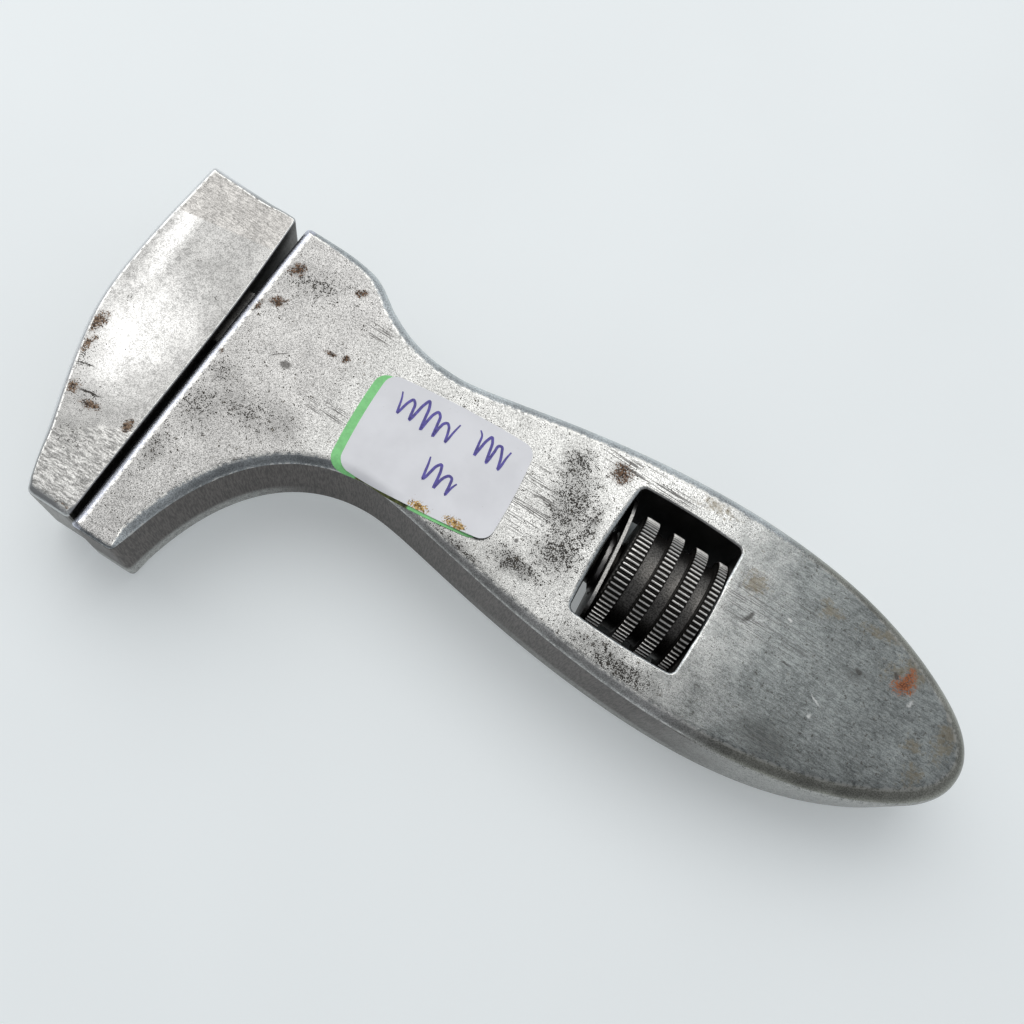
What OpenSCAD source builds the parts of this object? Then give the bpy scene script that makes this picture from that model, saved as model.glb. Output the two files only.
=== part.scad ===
// Small pocket adjustable wrench with a captive knurled nut in a window of the handle.
// The origin is the point where the screw's axis meets the fixed jaw's gripping face.
// +X runs from the handle towards the jaws, +Y towards the jaw tips, +Z out of the front face.

/* [Body] */
// Thickness of the jaws and the handle
thickness = 11.4; // [11:0.1:13]
// Distance from the fixed jaw's face to the butt end
body_length = 89.1; // [88:0.1:92]
// Half of the handle's greatest width
handle_half = 12.4; // [12:0.1:13.5]
// Distance from the screw's axis to the neck's waist on the mouth side
waist_mouth = 8.2; // [7.5:0.1:8.5]
// Distance from the screw's axis to the neck's waist on the back side
waist_back = 7.25; // [7:0.05:8]
// Distance from the fixed jaw's face to the waist of the neck
waist_x = 22.5; // [21:0.1:23]
// Distance from the screw's axis to the jaw tips
jaw_reach = 27.8; // [26:0.1:30]
// Distance from the screw's axis to the back edge of the head
head_back = 12.6; // [12:0.1:14]
// Width of the fixed jaw at its tip
fixed_tip = 5; // [4:0.1:6]

/* [Window] */
// Distance from the fixed jaw's face to the window
window_x = 45.75; // [45:0.05:47]
// Length of the window along the handle
window_length = 12.45; // [12.4:0.05:13]
// Width of the window across the handle
window_width = 15.6; // [15:0.1:16]
// Radius of the window's corners
window_corner = 0.7; // [0.5:0.1:2]

/* [Moving jaw] */
// Gap between the jaw tips as the wrench lies at rest
rest_gap = 0.55; // [0.5:0.05:2]
// Toe-in of the moving jaw: how much wider the gap is behind the screw than at the tips
toe_in = 0.55; // [0:0.05:0.8]
// Width of the moving jaw's head
moving_width = 12.4; // [10:0.1:13]
// Width of the moving jaw's head at its tip
moving_tip = 5; // [4:0.1:6]
// Side of the square shank that slides in the neck
shank_side = 7; // [6.5:0.1:7.2]
// Gap between each side of the shank and its mortise
shank_gap = 0.04; // [0.02:0.01:0.08]

/* [Thread] */
// Outer diameter of the thread on the shank's tail
thread_d = 7; // [6.6:0.1:7]
// Distance between two turns of the thread
thread_pitch = 2; // [2:0.1:2.2]
// Height of the thread's ridge
thread_depth = 0.7; // [0.6:0.05:0.75]
// Radial gap between the nut's thread and the shank's
thread_gap = 0.14; // [0.12:0.01:0.2]

/* [Nut and spring] */
// Diameter of the nut over its knurled rings
nut_d = 13.8; // [13:0.1:14.2]
// Diameter of the nut in its plain grooves
nut_groove_d = 11.6; // [11:0.1:12.2]
// Length of the nut
nut_length = 10.45; // [10.45:0.05:10.6]
// Length of the spring plate across the window
plate_length = 14.4; // [13:0.1:15]
// Height of the spring plate
plate_height = 9.6; // [9:0.1:11]
// Thickness of the spring plate
plate_t = 0.35; // [0.3:0.05:0.4]

/* [Labels] */
// Length of the paper labels
label_length = 17.5; // [16:0.1:19]
// Width of the paper labels
label_width = 11.7; // [10:0.1:12]
// Turn of the labels against the handle's axis, in degrees
label_turn = 5; // [0:0.5:7]
// Thickness of one label
label_t = 0.1; // [0.08:0.01:0.15]

/* [Hidden] */
$fn = 96;
steel = "#b9bcbd";
jaw_steel = "#c4c4c2";
nut_steel = "#5c5a57";
spring_steel = "#a9a9a6";
label_green = "#8fd28c";
label_white = "#e9e8ee";

curve_steps = 12;                       // straight steps in each curve of an outline
end_gap = 0.05;                         // play at each end of the nut
wide_x = 59;                            // where the handle is widest
nose_x = 4.9;                           // length of the butt's rounded nose
nose_half = 6.6;                        // half width of the handle where the nose starts
jaw_step = 0.4;                         // how far short of the fixed jaw the moving one ends
heel_y = -8;                            // where the moving jaw's face turns away behind the screw
screw_end = 71.5;                       // tail of the screw, from the fixed jaw's face
shank_end = window_x - 1.15;            // where the shank turns from square to round
bore_d = thread_d + 0.4;                // clearance bore in the handle for the screw's tail
bore_end = screw_end + rest_gap + 1.5;
thread_steps = 24;                      // straight steps in a turn of the thread
ridge_root = 0.58;                      // half width of the ridge where it leaves the core
ridge_crest = 0.34;                     // half width of the ridge at its crest
sunk = 0.15;                            // depth of the ridge inside the metal that carries it
core_r = thread_d / 2 - thread_depth;
nut_bore_r = thread_d / 2 + thread_gap;
nut_butt_x = -(window_x + window_length) + end_gap;
nut_jaw_x = nut_butt_x + nut_length;
screw_ridge_x = -(screw_end - 0.6);
screw_turns = (screw_end - 0.6 - window_x) / thread_pitch;
// The nut's ridge starts half a pitch beside the screw's, in the first groove inside the nut.
nut_ridge_x = screw_ridge_x + thread_pitch * (0.5 + ceil((nut_butt_x + 0.7 - screw_ridge_x) / thread_pitch - 0.5));
nut_turns = (nut_jaw_x - 0.7 - nut_ridge_x) / thread_pitch;
// Start and width of each knurled ring, from the nut's butt end.
nut_rings = [[0, 1.15], [2.45, 1.55], [5.4, 1.45], [8.5, nut_length - 8.5]];
plate_bow = -window_x - nut_jaw_x - plate_t - 2 * end_gap;
plate_corner = 3;                       // radius of the spring plate's corners
label_x = -26.05;                       // centre of the upper label
label_y = 1.75;
label_corner = 1.5;                     // radius of the labels' corners
heel_slant = 0.3;                       // how much further back the moving jaw's outer corner reaches

// Points of a cubic curve through its first and last control point.
function curve(p, steps = curve_steps) = [for (i = [0:steps]) let (t = i / steps, u = 1 - t)
    u * u * u * p[0] + 3 * t * u * u * p[1] + 3 * t * t * u * p[2] + t * t * t * p[3]];

function mirrored(points) = [for (i = [len(points) - 1:-1:0]) [points[i].x, -points[i].y]];

// One side of the handle, from the waist of the neck to the middle of the butt.
function handle_side(waist) = concat(
    curve([[-waist_x, waist], [-waist_x - 5.5, waist], [-wide_x + 18, handle_half], [-wide_x, handle_half]]),
    curve([[-wide_x, handle_half], [-wide_x - 10, handle_half],
           [-body_length + nose_x + 7, nose_half + 4.1], [-body_length + nose_x, nose_half]]),
    curve([[-body_length + nose_x, nose_half], [-body_length + 1.7, nose_half - 1.9],
           [-body_length, 2.6], [-body_length, 0]], 6));

// Mouth side of the fixed jaw, from its tip to the waist.
mouth_side = curve([[-fixed_tip, jaw_reach], [-6.7, jaw_reach - 12.4],
    [-waist_x + 9.5, waist_mouth], [-waist_x, waist_mouth]]);

// Back side of the head and the handle as it lies mirrored, from the jaw's face to the butt.
back_side = concat([[0, head_back]],
    curve([[-8, head_back - 0.3], [-10.2, head_back - 0.6], [-11.2, 11], [-12.8, 9.9]], 6),
    curve([[-12.8, 9.9], [-15.8, 8.1], [-waist_x + 4.1, waist_back], [-waist_x, waist_back]]),
    handle_side(waist_back));

body_outline = concat([[0, jaw_reach]], mouth_side, handle_side(waist_mouth), mirrored(back_side));

// Head of the moving jaw, its tip's corner on the line x = 0.
moving_outline = concat(
    [[0, jaw_reach - jaw_step], [toe_in, heel_y], [toe_in + 0.35, -head_back]],
    [[moving_width - 0.4, -head_back - heel_slant]],
    curve([[moving_width, 1], [moving_width, 6], [moving_width - 0.7, 9], [moving_width - 1.7, 12]], 6),
    [[moving_tip, jaw_reach - jaw_step]]);

// Turns a piece made along Z so that it lies along the screw's axis, X.
module on_axis(x) {
    translate([x, 0, 0]) rotate([0, 90, 0]) children();
}

module rounded_box(length, width, height, r) {
    linear_extrude(height, center = true)
        union() {
            square([length - 2 * r, width], center = true);
            square([length, width - 2 * r], center = true);
            for (x = [-1, 1], y = [-1, 1])
                translate([x * (length / 2 - r), y * (width / 2 - r)]) circle(r, $fn = 32);
        }
}

// A right-hand helical ridge about the X axis, from radius r0 with half width w0 to r1 with w1.
module ridge(x, turns, r0, w0, r1, w1) {
    steps = floor(turns * thread_steps);
    section = [[-w0, r0], [-w1, r1], [w1, r1], [w0, r0]];
    points = [for (i = [0:steps], s = section) let (a = 360 * i / thread_steps)
        [x + thread_pitch * i / thread_steps + s.x, s.y * cos(a), s.y * sin(a)]];
    inward = r1 < r0;
    walls = [for (i = [0:steps - 1], k = [0:3]) let (a = 4 * i + k, b = 4 * i + (k + 1) % 4)
        each [[a, b, b + 4], [a, b + 4, a + 4]]];
    last = 4 * steps;
    faces = concat(walls, [[2, 1, 0], [3, 2, 0]], [[last, last + 1, last + 2], [last, last + 2, last + 3]]);
    polyhedron(points, inward ? [for (f = faces) [f[2], f[1], f[0]]] : faces);
}

module label_shape(x, y) {
    translate([x, y, 0]) rotate(label_turn) rounded_box(label_length, label_width, label_t, label_corner);
}

// Keeps a label to the flat of the front face.
module trimmed_to_body() {
    intersection() {
        children();
        linear_extrude(thickness * 2, center = true) polygon(body_outline);
    }
}

module body() {
    color(steel)
        difference() {
            linear_extrude(thickness, center = true) polygon(body_outline);
            translate([-window_x - window_length / 2, 0, 0])
                rounded_box(window_length, window_width, 2 * thickness, window_corner);
            translate([-window_x / 2 - 1, 0, 0])
                cube([window_x + 4, shank_side + 2 * shank_gap, shank_side + 2 * shank_gap], center = true);
            on_axis(-bore_end) cylinder(h = bore_end - window_x - 1, d = bore_d);
        }
}

module moving_jaw() {
    color(jaw_steel)
        union() {
            translate([rest_gap, 0, 0]) linear_extrude(thickness, center = true) polygon(moving_outline);
            translate([-shank_end, -shank_side / 2, -shank_side / 2])
                cube([shank_end + rest_gap + toe_in + 1, shank_side, shank_side]);
            on_axis(-screw_end) cylinder(h = screw_end - shank_end + 1, r = core_r);
            ridge(screw_ridge_x, screw_turns, core_r - sunk, ridge_root, thread_d / 2, ridge_crest);
        }
}

module adjusting_nut() {
    color(nut_steel)
        union() {
            difference() {
                on_axis(nut_butt_x) union() {
                    cylinder(h = nut_length, d = nut_groove_d);
                    for (ring = nut_rings) translate([0, 0, ring[0]]) cylinder(h = ring[1], d = nut_d);
                }
                on_axis(nut_butt_x - 1) cylinder(h = nut_length + 2, r = nut_bore_r);
            }
            ridge(nut_ridge_x, nut_turns, nut_bore_r + sunk, ridge_root, core_r + thread_gap, ridge_crest);
        }
}

module spring_plate() {
    half = plate_length / 2;
    cut = plate_bow + 3;
    // The sheet lies against the nut at the mouth side and curls up to the window's end at the back.
    bow = curve([[0, half], [0.23 * plate_bow, half / 3], [0.4 * plate_bow, -half / 3], [plate_bow, -half]]);
    sheet = concat(bow, [for (i = [curve_steps:-1:0]) bow[i] + [plate_t, 0]]);
    color(spring_steel)
        translate([nut_jaw_x + end_gap, 0, 0])
            difference() {
                intersection() {
                    linear_extrude(2 * plate_height, center = true) polygon(sheet);
                    on_axis(cut / 2 - 1) rounded_box(plate_height, plate_length, cut, plate_corner);
                }
                on_axis(-1) cylinder(h = cut, d = thread_d + 0.6);
            }
}

module lower_label() {
    color(label_green) translate([0, 0, (thickness + label_t) / 2])
        trimmed_to_body() label_shape(label_x + 0.95, label_y + 0.4);
}

module upper_label() {
    color(label_white) translate([0, 0, (thickness + 3 * label_t) / 2])
        trimmed_to_body() label_shape(label_x, label_y);
}

body();
moving_jaw();
adjusting_nut();
spring_plate();
lower_label();
upper_label();
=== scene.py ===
"""Looks of a small pocket adjustable wrench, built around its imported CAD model.

Lengths are in millimetres in the row frame and become metres only when a mesh, light or camera is made:
+X runs from the handle to the jaws, +Y to the jaw tips and +Z out of the front face.
"""

import math

import bmesh
import bpy
import numpy as np
from mathutils import Euler, Matrix, Vector, noise
from mathutils.geometry import delaunay_2d_cdt


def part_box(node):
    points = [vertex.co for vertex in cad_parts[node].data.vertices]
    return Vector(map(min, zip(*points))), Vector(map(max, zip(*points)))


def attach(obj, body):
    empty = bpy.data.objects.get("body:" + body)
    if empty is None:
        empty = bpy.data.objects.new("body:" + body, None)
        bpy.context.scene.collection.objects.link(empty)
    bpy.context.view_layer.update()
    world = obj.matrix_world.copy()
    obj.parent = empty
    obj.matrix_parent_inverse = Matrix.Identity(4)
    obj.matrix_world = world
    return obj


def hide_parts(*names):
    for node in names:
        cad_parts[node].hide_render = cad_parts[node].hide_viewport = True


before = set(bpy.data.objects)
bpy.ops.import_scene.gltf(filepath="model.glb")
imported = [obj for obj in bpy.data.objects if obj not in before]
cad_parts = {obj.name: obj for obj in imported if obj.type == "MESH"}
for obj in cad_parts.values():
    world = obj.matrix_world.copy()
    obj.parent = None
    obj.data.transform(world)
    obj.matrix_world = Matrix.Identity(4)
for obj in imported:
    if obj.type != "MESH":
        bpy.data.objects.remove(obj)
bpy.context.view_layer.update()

MM = 0.001

# Sizes that the looks share with the design
SHANK_SIDE = 7.0
SHANK_GAP = 0.04
BORE_D = 7.4
THREAD_D = 7.0
THREAD_PITCH = 2.0
THREAD_DEPTH = 0.7
THREAD_GAP = 0.14
NUT_GROOVE_D = 11.6
NUT_RINGS = [(0, 1.15), (2.45, 4.0), (5.4, 6.85), (8.5, 10.4)]  # from the nut's butt end
NUT_TEETH = 72
PLATE_T = 0.35
LABEL_T = 0.1

TRIANGLE_HEIGHT = 0.866  # of a triangle whose sides are 1


# ------------------------ shapes from the CAD frame


def node_span(node):
    """Lowest and highest corner of a CAD node, in mm."""
    low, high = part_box(node)
    return np.array(low) / MM, np.array(high) / MM


def front_loops(node):
    """The closed outlines of a CAD node's flat front face, the longest first."""
    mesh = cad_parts[node].data
    mesh.calc_loop_triangles()
    points = np.array([v.co for v in mesh.vertices]) / MM
    top = points[:, 2].max()
    keys = [tuple(np.round(p[:2], 3)) if p[2] > top - 0.002 else None for p in points]
    follows = {}
    for triangle in mesh.loop_triangles:
        corners = [keys[i] for i in triangle.vertices]
        if None in corners:
            continue
        for a, b in zip(corners, corners[1:] + corners[:1]):
            if follows.get((b, a)):
                follows.pop((b, a))
            else:
                follows[(a, b)] = True
    step = {a: b for a, b in follows}
    loops = []
    while step:
        start = min(step)
        loop, at = [start], step.pop(start)
        while at != start:
            loop.append(at)
            at = step.pop(at)
        loops.append(np.array(loop))
    return sorted(loops, key=lambda p: -np.ptp(p[:, 0]))


def turns(loop):
    """Angle between the two stretches that meet at each point of a closed loop."""
    before = loop - np.roll(loop, 1, 0)
    after = np.roll(loop, -1, 0) - loop
    cross = before[:, 0] * after[:, 1] - before[:, 1] * after[:, 0]
    return np.arctan2(cross, (before * after).sum(1))


def spline(points, gap):
    """A smooth curve through the points, sampled about every gap mm."""
    if len(points) < 3:
        steps = max(2, int(np.linalg.norm(points[1] - points[0]) / gap))
        t = np.linspace(0, 1, steps + 1)[:, None]
        return points[0] * (1 - t) + points[1] * t
    length = np.r_[0, np.cumsum(np.linalg.norm(np.diff(points, axis=0), axis=1))]
    slope = np.gradient(points, length, axis=0)
    slope[0] = (points[1] - points[0]) / length[1]
    slope[-1] = (points[-1] - points[-2]) / (length[-1] - length[-2])
    at = np.linspace(0, length[-1], max(3, int(length[-1] / gap)) + 1)
    i = np.clip(np.searchsorted(length, at, "right") - 1, 0, len(points) - 2)
    h = (length[i + 1] - length[i])[:, None]
    t = ((at - length[i])[:, None]) / h
    return ((2 * t**3 - 3 * t**2 + 1) * points[i] + (t**3 - 2 * t**2 + t) * h * slope[i]
            + (3 * t**2 - 2 * t**3) * points[i + 1] + (t**3 - t**2) * h * slope[i + 1])


def smooth_loop(loop, radius, gap=0.3, sharp=math.radians(25)):
    """The loop as smooth curves between its corners, and the corners rounded to about that radius."""
    corners = [i for i, a in enumerate(turns(loop)) if abs(a) > sharp]
    if not corners:
        return spline(np.r_[loop, loop[:1]], gap)[:-1]
    pieces = []
    for i, j in zip(corners, corners[1:] + [corners[0] + len(loop)]):
        stretch = spline(loop[np.arange(i, j + 1) % len(loop)], gap)
        along = np.r_[0, np.cumsum(np.linalg.norm(np.diff(stretch, axis=0), axis=1))]
        kept = stretch[(along > radius) & (along < along[-1] - radius)]
        pieces.append((stretch[0], kept, stretch[-1]))
    rounded = []
    for i, (_, kept, corner) in enumerate(pieces):
        first = pieces[(i + 1) % len(pieces)][1][0]
        t = np.linspace(0, 1, max(4, int(2 * radius / gap) + 2))[1:-1, None]
        arc = (1 - t) ** 2 * kept[-1] + 2 * t * (1 - t) * corner + t**2 * first
        rounded += [kept, arc]
    return np.concatenate(rounded)


def inward(loop):
    """Unit normals of a closed loop, to its left."""
    along = np.roll(loop, -1, 0) - np.roll(loop, 1, 0)
    normal = np.c_[-along[:, 1], along[:, 0]]
    return normal / np.linalg.norm(normal, axis=1)[:, None]


def distance(points, loop):
    """How far each point is from a closed loop, and which of its samples is the nearest."""
    a, d = loop, np.roll(loop, -1, 0) - loop
    far, near = [], []
    for part in np.array_split(points, max(1, len(points) // 1500)):
        v = part[:, None] - a[None]
        t = np.clip((v * d).sum(2) / (d * d).sum(1), 0, 1)
        gap = np.linalg.norm(v - t[..., None] * d, axis=2)
        near.append(gap.argmin(1))
        far.append(gap.min(1))
    return np.concatenate(far), np.concatenate(near)


def within(points, loop):
    """Which points lie inside a closed loop."""
    x, y = points[:, :1], points[:, 1:]
    ax, ay = loop.T
    bx, by = np.roll(loop, -1, 0).T
    with np.errstate(divide="ignore", invalid="ignore"):
        crossing = ((ay > y) != (by > y)) & (x < (bx - ax) * (y - ay) / (by - ay) + ax)
    return crossing.sum(1) % 2 == 1


def between_loops(points, outline, holes):
    """Which points lie inside the outline and outside every hole."""
    keep = within(points, outline)
    for hole in holes:
        keep &= ~within(points, hole)
    return keep


def grid_points(outline, spacing):
    """Points at the corners of even triangles, over the box of a closed loop."""
    low, high = outline.min(0), outline.max(0)
    xs = np.arange(low[0], high[0], spacing)
    ys = np.arange(low[1], high[1], spacing * TRIANGLE_HEIGHT)
    shifts = [spacing / 2 if row % 2 else 0 for row in range(len(ys))]
    return np.concatenate([np.c_[xs + shift, np.full(len(xs), y)] for shift, y in zip(shifts, ys)])


def ring_edges(places):
    """The edges that join points into a closed ring, by their places in a list."""
    return [(int(a), int(b)) for a, b in zip(places, np.roll(places, -1))]


def triangulated(points, fences, outline, holes):
    """Corners and triangles of the region between the loops, and which given point each corner was."""
    flat, _, triangles, origin, _, _ = delaunay_2d_cdt([Vector(p[:2]) for p in points], fences, [], 0, 1e-6)
    xy = np.array([[v.x, v.y] for v in flat])
    centre = np.array([xy[list(t)].mean(0) for t in triangles])
    solid = between_loops(centre, outline, holes)
    return xy, [list(t) for t, s in zip(triangles, solid) if s], [o[0] if o else -1 for o in origin]


def ease(t):
    """From 0 to 1 as t does, but slowly at both ends."""
    return t * t * (3 - 2 * t)


def bumps(points, size, seed):
    """Smooth noise between -1 and 1 at each point; size is its grain in mm."""
    return np.array([noise.noise(Vector((p[0] / size, p[1] / size, seed))) for p in points])


# ------------------------ solids


RIM_STEPS = 8
RELIEF_FADE = 0.6  # a face's waves grow to their full height this far inside its rim


def rim(loop, inset, drop, crease):
    """Points of a rounded rim inside a loop: x, y and how far each lies below the face.

    crease is the angle that the rim and the wall leave between them, 0 where one runs into the other.
    """
    normal = inward(loop)
    rows = [np.c_[loop, drop]]
    for k in range(1, RIM_STEPS + 1):
        angle = crease + (math.pi / 2 - crease) * k / RIM_STEPS
        depth = inset * (1 - np.cos(angle) / np.cos(crease))
        ring = loop + normal * depth[:, None]
        clear = distance(ring, loop)[0] > depth - 0.02
        rows.append(np.c_[ring, drop * (1 - np.sin(angle)) / (1 - np.sin(crease))][clear])
    return rows


def plate(outline, edge, windows, window_edge, half, relief, fall, spacing=0.7, wall_rows=6):
    """Vertices and faces of a closed plate with rounded rims.

    outline runs anticlockwise and the windows clockwise. edge and window_edge give a rim's inset, drop and
    crease at each point of a loop. relief gives the waves of the front or back face, which fade out at the
    rims, and fall gives how far each point lies below the flat of the face, rims and all.
    """
    loops = [(outline, *edge(outline))] + [(w, *window_edge(w)) for w in windows]
    rims = [rim(*one) for one in loops]
    inner = grid_points(outline, spacing)
    keep = between_loops(inner, outline, windows)
    for loop, inset, _, _ in loops:
        gap, near = distance(inner, loop)
        keep &= gap > inset[near] + 0.4 * spacing
    inner = inner[keep]
    points = np.concatenate([np.concatenate(rows) for rows in rims] + [np.c_[inner, np.zeros(len(inner))]])
    ends, fences, first = [], [], 0
    for (loop, *_), rows in zip(loops, rims):
        ends.append(np.arange(first, first + len(loop)))
        fences += ring_edges(ends[-1])
        first += sum(len(r) for r in rows)
    xy, triangles, origin = triangulated(points, fences, outline, windows)
    place = {o: i for i, o in enumerate(origin)}
    drop = np.array([points[o, 2] for o in origin])
    fade = np.ones(len(xy))
    for loop, inset, _, _ in loops:
        gap, near = distance(xy, loop)
        fade *= np.clip(gap / (inset[near] + RELIEF_FADE), 0, 1)
    fade = ease(fade)
    front = np.c_[xy, half - drop + relief(xy, 1) * fade - fall(xy)]
    back = np.c_[xy, -(half - drop) - relief(xy, -1) * fade + fall(xy)]
    count = len(xy)
    vertices = [front, back]
    faces = triangles + [[i + count for i in reversed(t)] for t in triangles]
    used = 2 * count
    for loop_ends in ends:
        top = np.array([place[int(i)] for i in loop_ends])
        ring = top
        for row in range(1, wall_rows + 1):
            if row < wall_rows:
                t = row / wall_rows
                vertices.append(front[top] * (1 - t) + back[top] * t)
                lower = np.arange(used, used + len(top))
                used += len(top)
            else:
                lower = top + count
            faces += [[a, c, d, b] for a, b, c, d in zip(ring, np.roll(ring, -1), lower, np.roll(lower, -1))]
            ring = lower
    return np.concatenate(vertices), faces


def shade_smooth(mesh, sharp):
    """Smooth apart from the edges whose faces meet at more than so many degrees."""
    mesh.polygons.foreach_set("use_smooth", [True] * len(mesh.polygons))
    mesh.set_sharp_from_angle(angle=math.radians(sharp))


def mesh_piece(name, vertices, faces, sharp=35):
    """A mesh object from points in mm, smooth apart from its sharp edges."""
    mesh = bpy.data.meshes.new(name)
    mesh.from_pydata((np.asarray(vertices, float) * MM).tolist(), [], [[int(i) for i in f] for f in faces])
    mesh.validate()
    shade_smooth(mesh, sharp)
    piece = bpy.data.objects.new(name, mesh)
    bpy.context.scene.collection.objects.link(piece)
    return piece


def apply_modifiers(piece):
    """Makes what the piece's modifiers do a part of its mesh."""
    old = piece.data
    depsgraph = bpy.context.evaluated_depsgraph_get()
    piece.data = bpy.data.meshes.new_from_object(piece.evaluated_get(depsgraph))
    piece.modifiers.clear()
    bpy.data.meshes.remove(old)


def boolean(piece, other, operation):
    """Joins the other solid to the piece or cuts it away, and removes the other."""
    modifier = piece.modifiers.new("solid", "BOOLEAN")
    modifier.operation = operation
    modifier.solver = "EXACT"
    modifier.object = other
    apply_modifiers(piece)
    bpy.data.meshes.remove(other.data)
    piece.data.name = piece.name
    shade_smooth(piece.data, 22)


def ring_points(x, radius, angles):
    """Points round the X axis at x."""
    return np.c_[np.full(len(angles), x), radius * np.cos(angles), radius * np.sin(angles)]


def tube(rings):
    """Faces that join equal closed rings of points, each to the next."""
    faces = []
    for k in range(len(rings) - 1):
        a, b = np.array(rings[k]), np.array(rings[k + 1])
        faces += [[p, q, s, r] for p, q, r, s in zip(a, np.roll(a, -1), b, np.roll(b, -1))]
    return faces


def turned(name, stations, radius, steps, sharp=35):
    """A closed solid of revolution about X: radius(x, angles) gives its surface at each station.

    Its faces are wound inwards, which is a fault.
    """
    angles = 2 * math.pi * np.arange(steps) / steps
    vertices, rings = [], []
    for x in stations:
        rings.append(range(len(rings) * steps, (len(rings) + 1) * steps))
        vertices.append(ring_points(x, radius(x, angles), angles))
    faces = tube(rings)
    faces.append(list(reversed(rings[0])))
    faces.append(list(rings[-1]))
    faces = [f[::-1] for f in faces]
    return mesh_piece(name, np.concatenate(vertices), faces, sharp)


def box_solid(name, low, high, bevel=0.0):
    """A box in mm, its edges broken where a bevel is given."""
    (x0, y0, z0), (x1, y1, z1) = low, high
    corners = np.array([[x, y, z] for x in (x0, x1) for y in (y0, y1) for z in (z0, z1)])
    faces = [[0, 1, 3, 2], [4, 6, 7, 5], [0, 4, 5, 1], [2, 3, 7, 6], [0, 2, 6, 4], [1, 5, 7, 3]]
    piece = mesh_piece(name, corners, faces)
    if bevel:
        modifier = piece.modifiers.new("edges", "BEVEL")
        modifier.width = bevel * MM
        modifier.segments = 3
        apply_modifiers(piece)
    return piece


# ------------------------ body

half_thickness = node_span("body")[1][2]
body_loops = front_loops("body")
jaw_loops = front_loops("moving_jaw")
nut_low, nut_high = node_span("adjusting_nut")
jaw_low = node_span("moving_jaw")[0]


def oriented(loop, clockwise=False):
    """The loop, turned round if it runs the other way."""
    area = np.sum(loop[:, 0] * np.roll(loop[:, 1], -1) - np.roll(loop[:, 0], -1) * loop[:, 1])
    return loop[::-1] if (area > 0) == clockwise else loop


body_outline = smooth_loop(oriented(body_loops[0]), 0.6)
window_outline = smooth_loop(oriented(body_loops[1], True), 0.3)
jaw_outline = smooth_loop(oriented(jaw_loops[0]), 0.5)
window_low, window_high = window_outline.min(0), window_outline.max(0)

# The body's rounded rim at places along the handle: x, inset, drop and crease in degrees
MOUTH_RIM = np.array([(-89, 2.4, 1.9, 0), (-72, 1.9, 1.4, 10), (-58, 1.4, 0.8, 25), (-34, 1.1, 0.6, 30),
                      (-24, 1.0, 0.6, 30), (-16, 1.3, 0.7, 25), (-8, 1.5, 0.8, 25), (-5, 1.2, 0.7, 25)])
BACK_RIM = np.array([(-89, 2.2, 1.8, 0), (-72, 1.7, 1.3, 15), (-58, 1.5, 1.0, 30), (-34, 1.45, 0.8, 35),
                     (-20, 1.4, 0.8, 35), (-11, 1.4, 0.8, 30), (-2, 1.0, 0.6, 20)])
GRIP_RIM = (1.4, 0.7, 20)  # along the fixed jaw's gripping face
TIP_RIM = (0.45, 0.3, 20)  # across the fixed jaw's tip


def smoothed(values, reach=3):
    weights = np.ones(2 * reach + 1) / (2 * reach + 1)
    return np.convolve(np.r_[values[-reach:], values, values[:reach]], weights, "valid")


def body_rim(loop):
    """Inset, drop and crease of the body's rim at each point of its outline."""
    x, y = loop.T
    grips, tip = x > -0.4, y > 26.6
    rows = []
    for k in range(3):
        mouth = np.interp(x, MOUTH_RIM[:, 0], MOUTH_RIM[:, k + 1])
        back = np.interp(x, BACK_RIM[:, 0], BACK_RIM[:, k + 1])
        rims = np.where(y > 0, mouth, back)
        rows.append(smoothed(np.where(grips, GRIP_RIM[k], np.where(tip, TIP_RIM[k], rims))))
    return rows[0], rows[1], np.radians(rows[2])


def window_rim(loop):
    """Softer along the window's jaw side than on the other three."""
    jaw_side = np.clip((loop[:, 0] - window_high[0] + 0.5) / 0.5, 0, 1)
    inset = smoothed(0.35 + 0.3 * jaw_side)
    return inset, 0.8 * inset, np.zeros(len(loop))


def no_fall(xy):
    """The body's faces have no ground flats."""
    return 0


def body_relief(xy, side):
    """Slight waves that years of use and filing have left in the faces."""
    return 0.035 * (bumps(xy, 11, 3.1 * side) - 0.5) + 0.012 * bumps(xy, 3.5, 7.7 * side)


vertices, faces = plate(body_outline, body_rim, [window_outline], window_rim, half_thickness,
                        body_relief, no_fall)
body = mesh_piece("wrench_body", vertices, faces)
mortise = SHANK_SIDE / 2 + SHANK_GAP
mortise_cut = box_solid("cut", (window_high[0] - 1, -mortise, -mortise), (2, mortise, mortise))
boolean(body, mortise_cut, "DIFFERENCE")
bore_end = jaw_low[0] - 1.5


def bore_radius(x, angles):
    return np.full(len(angles), BORE_D / 2)


# This cut draws the bore's circle on the window's end wall but opens nothing, which is a fault
boolean(body, turned("cut", (bore_end, window_low[0] + 1), bore_radius, 64), "DIFFERENCE")

# ------------------------ moving jaw

jaw_face_x = jaw_outline[:, 0].min()


def jaw_rim(loop):
    """A crisp edge along the gripping face, and softer ones round the rest."""
    x, y = loop.T
    grips = np.clip((jaw_face_x + 1.2 - x) / 0.3, 0, 1) * np.clip((27 - y) / 0.5, 0, 1)
    tip = np.clip((y - 26.5) / 0.5, 0, 1)
    outer = np.clip((x - 3) / 2, 0, 1) * np.clip((24 - y) / 3, 0, 1)
    inset = smoothed(0.4 - 0.22 * grips + 0.6 * tip + 0.45 * outer, 2)
    return inset, 0.8 * inset, np.radians(20) * (1 - tip)


# The ground flat at the jaw's back end lies beyond the line y = HEEL_Y + HEEL_SLOPE x
HEEL_Y, HEEL_SLOPE = -8.15, 0.168


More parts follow.
